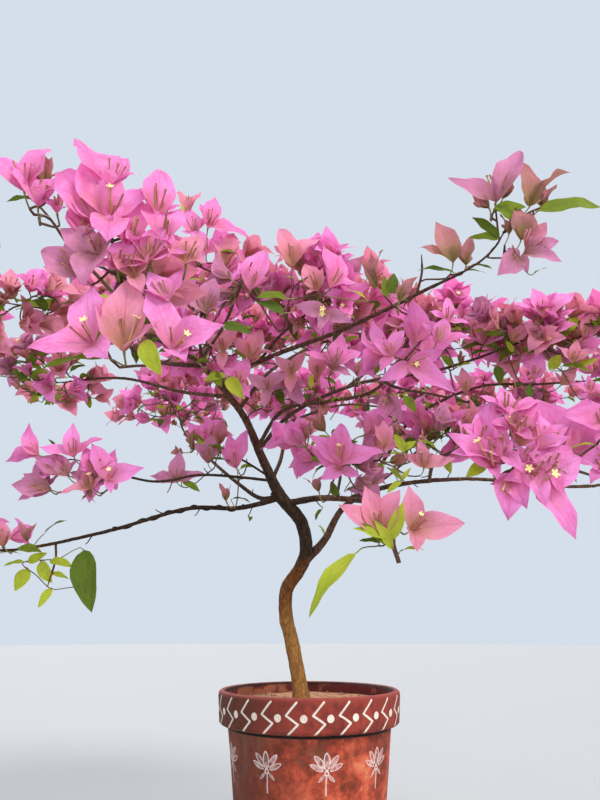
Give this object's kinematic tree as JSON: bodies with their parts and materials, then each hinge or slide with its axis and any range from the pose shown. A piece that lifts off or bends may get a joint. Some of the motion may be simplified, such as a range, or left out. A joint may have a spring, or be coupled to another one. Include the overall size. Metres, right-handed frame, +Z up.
{
  "type": "potted bougainvillea bush",
  "caption": "Flowering bougainvillea bush with a leaning trunk and a wide, open, umbrella-like crown of pink bracts, growing in a painted clay pot.",
  "frame": {"origin": "centre of the pot's flat underside", "axes": "+Z up along the pot's axis; the bush is seen from -Y in the picture, with +X to the right"},
  "size_m": [1.2987, 1.2716, 1.0335],
  "materials": {
    "clay": "matt red painted clay with cream and pale pink brushwork",
    "earth": "dry reddish brown garden soil",
    "bark": "rough brown bark, tan near the soil and dark in the crown",
    "bracts": "thin papery pink bracts with some green leaves",
    "leaves": "fresh green leaves"
  },
  "bodies": {
    "root": {"pot": "clay", "soil": "earth", "trunk": "bark", "leader_bough": "bark", "right_low_bough": "bark", "left_low_bough": "bark", "left_back_bough": "bark", "centre_right_bough": "bark", "back_bough": "bark", "left_mid_bough": "bark", "left_inner_bough": "bark", "mid_fore_bough": "bark", "right_upper_bough": "bark", "arch_bough": "bark", "far_left_bough": "bark", "crown_top_bough": "bark", "top_left_bough": "bark", "crown_left_bough": "bark", "left_edge_bough": "bark", "fore_left_bough": "bark", "left_upper_bough": "bark", "fore_top_bough": "bark", "left_hanging_bough": "bark", "right_mid_bough": "bark", "fore_right_bough": "bark", "centre_low_bough": "bark", "right_inner_bough": "bark", "top_centre_bough": "bark", "arch_spur_bough": "bark", "top_right_bough": "bark", "right_back_bough": "bark", "back_right_bough": "bark", "fore_left_mass": "bracts", "left_edge_mass": "bracts", "left_low_mass": "bracts", "left_tip_mass": "bracts", "left_hanging_mass": "leaves", "left_inner_mass": "bracts", "far_left_mass": "bracts", "left_upper_mass": "bracts", "top_left_mass": "bracts", "top_centre_mass": "bracts", "fore_top_mass": "bracts", "arch_spur_mass": "bracts", "right_tip_mass": "bracts", "centre_right_mass": "bracts", "centre_low_mass": "bracts", "low_centre_mass": "bracts", "right_inner_mass": "bracts", "right_upper_mass": "bracts", "right_edge_mass": "bracts", "right_low_mass": "bracts", "fore_right_mass": "bracts", "top_right_mass": "bracts", "right_back_mass": "bracts", "back_right_mass": "bracts", "back_mass": "bracts", "back_left_mass": "bracts", "crown_left_mass": "bracts", "crown_top_mass": "bracts"}
  },
  "joints": []
}
